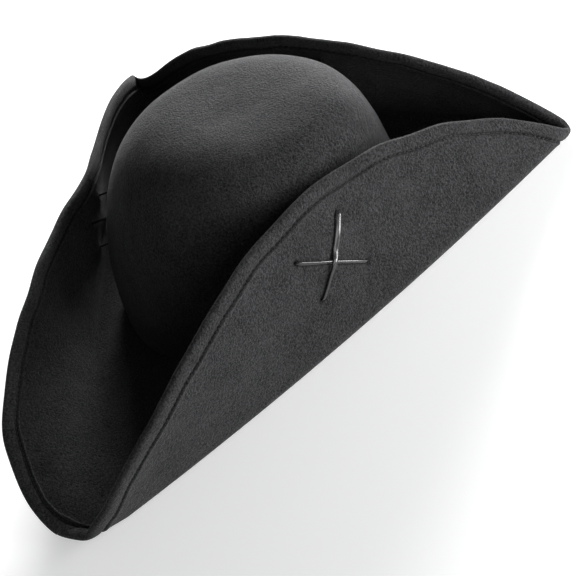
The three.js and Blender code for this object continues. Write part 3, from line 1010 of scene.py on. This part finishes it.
def lace_form(share, over):
    """Twist in degrees and fullness of a lace's width, over the shares of its run."""
    if over:
        return 8 - 30 * step_between(share, 0.35, 0.5), 0.62 + 0.5 * step_between(share, 0.25, 0.6)
    return 14 + 8 * np.sin(share * 3), 0.85 - 0.12 * share


def knot_tube(end, side, inward):
    s = np.linspace(0, 2 * np.pi, KNOT_POINTS)
    x = KNOT_SCALE * (np.sin(s) + 2 * np.sin(2 * s))
    z = KNOT_SCALE * (np.cos(s) - 2 * np.cos(2 * s))
    y = -KNOT_SCALE * KNOT_FLATNESS * np.sin(3 * s)
    path = end + x[:, None] * side + z[:, None] * np.array([0, 0, 1]) + y[:, None] * inward
    wide = np.broadcast_to(inward, path.shape) + KNOT_SKEW
    return closed_tube(tube(path, wide, KNOT_HALF_WIDTH, KNOT_HALF_THICKNESS, KNOT_SIDES))


def make_lace(name):
    over = LACES[name][-1]
    flap = flaps[LACES[name][0]]
    inward = np.append(-flap["out"], 0)
    run = lace_run(name, over)
    legs = [lace_leg(corner, inward) for corner in (run[0], run[-1])]
    path = resample(np.vstack([legs[0][::-1], run[1:-1], legs[1]]), PATH_POINTS)
    path = smooth_path(path, PATH_SMOOTHING)
    first, last = (np.linalg.norm(leg[-1] - leg[0]) for leg in legs)
    length = travelled(path)
    share = (length - first) / (length[-1] - first - last)
    course = unit(run[-1] - run[0])
    level = unit(np.cross(course, inward))
    twist, fullness = lace_form(share, over)
    twist = np.radians(twist)
    wide = level * np.cos(twist)[:, None] + unit(np.cross(course, level)) * np.sin(twist)[:, None]
    on_face = step_between(share, *FACE_STARTS) * (1 - step_between(share, *FACE_ENDS))
    half_width = LEG_HALF_WIDTH + (LACE_WIDTH / 2 * fullness - LEG_HALF_WIDTH) * on_face
    half_thick = LEG_HALF_THICKNESS + (LACE_THICKNESS / 2 - LEG_HALF_THICKNESS) * on_face
    parts = [closed_tube(tube(path, wide, half_width, half_thick, LACE_SIDES, LACE_SECTION))]
    side = np.append(flap["side"], 0)
    parts += [knot_tube(end, side, inward) for end in (path[0], path[-1])]
    points, faces = join(parts)
    return new_mesh(name + "_strap", points, faces, lace_gloss, [name])


for lace_name in LACES:
    make_lace(lace_name)

# Stitches


def stitch_row(name, column, side):
    """One row of thread along a column of the brim. side is 1 where its columns run to the edge."""
    ring = brim_points[:, column]
    across = (brim_points[:, column + 1] - brim_points[:, column - 1]) * side
    run = np.roll(ring, -1, 0) - np.roll(ring, 1, 0)
    outward = unit(np.cross(across, run)) * -side
    closed = np.vstack([ring, ring[:1]])
    outward = np.vstack([outward, outward[:1]])
    length = travelled(closed)
    count = int(length[-1] / STITCH_PITCH)
    t = np.linspace(-0.5, 0.5, len(STITCH_FORM))
    places = (np.arange(count)[:, None] + 0.5 + t * STITCH_SHARE) / count * length[-1]
    places = np.mod(places + rng.normal(0, STITCH_WANDER, (count, 1)), length[-1])
    line, normal = (
        np.stack([np.interp(places, length, rows[:, k]) for k in range(3)], -1)
        for rows in (closed, outward)
    )
    line = line + unit(normal) * (STITCH_RISE + STITCH_RISE * np.cos(t * np.pi))[None, :, None]
    radius = STITCH_RADIUS * np.array(STITCH_FORM)
    points, faces = join(
        closed_tube(tube(path, out, radius, radius, STITCH_SIDES))
        for path, out in zip(line, normal)
    )
    return new_mesh(name, points, faces, thread)


stitches = [
    stitch_row("stitches_outer", stitch_columns[0], 1),
    stitch_row("stitches_inner", stitch_columns[1], -1),
]

# The felt that the brim was cut from: its outline and the hem outside it, less the head opening


def flat_area(loop):
    x, y = loop.T
    return abs((x * np.roll(y, -1) - y * np.roll(x, -1)).sum()) / 2


opening_flat = way(headings) * opening_radius(headings, 0)[:, None]
cut_area = flat_area(edge_flat) + edge_length * HEM_WIDTH - flat_area(opening_flat)
cut_area *= MILLIMETRE**2

# Stage and light

FLOOR_HALF = 6.0
LIGHTS = {
    # name: place, target, size, power in watts
    "key": ((-0.5, -0.8, 0.15), (-0.03, -0.03, 0.05), (0.35, 0.25), 5.2),
    "front": ((0.0, -0.66, 0.12), (0.0, -0.08, 0.04), (0.3, 0.2), 4.6),
    "fill": ((-0.9, -0.5, 0.43), (0, 0, 0.05), (0.5, 0.4), 1.7),
    "rear_leaf": ((-0.35, -1.0, 0.5), (-0.1, 0.12, 0.05), (0.3, 0.3), 1.2),
    "rim_high": ((1.0, -0.06, 0.42), (0, 0, 0.09), (0.35, 0.35), 25),
    "rim_low": ((1.1, -0.05, 0.2), (0.04, 0, 0.1), (0.3, 0.2), 16),
}
SKY_COLOUR = (0.95, 0.97, 1, 1)
SKY_STRENGTH = 0.1


def make_floor():
    mesh = bpy.data.meshes.new("floor")
    r = FLOOR_HALF
    mesh.from_pydata([(-r, -r, 0), (r, -r, 0), (r, r, 0), (-r, r, 0)], [], [(0, 1, 2, 3)])
    mesh.materials.append(floor_material())
    obj = bpy.data.objects.new("floor", mesh)
    bpy.context.scene.collection.objects.link(obj)


def make_light(name, place, target, size, power):
    data = bpy.data.lights.new(name, "AREA")
    data.shape = "RECTANGLE"
    data.size, data.size_y = size
    data.energy = power
    obj = bpy.data.objects.new(name, data)
    obj.location = place
    obj.rotation_euler = (Vector(target) - Vector(place)).to_track_quat("-Z", "Y").to_euler()
    bpy.context.scene.collection.objects.link(obj)


def make_sky():
    world = bpy.data.worlds.new("world")
    bpy.context.scene.world = world
    world.use_nodes = True
    background = world.node_tree.nodes["Background"]
    background.inputs["Color"].default_value = SKY_COLOUR
    background.inputs["Strength"].default_value = SKY_STRENGTH


make_floor()
for light_name, row in LIGHTS.items():
    make_light(light_name, *row)
make_sky()
bpy.context.scene.view_settings.view_transform = "Standard"
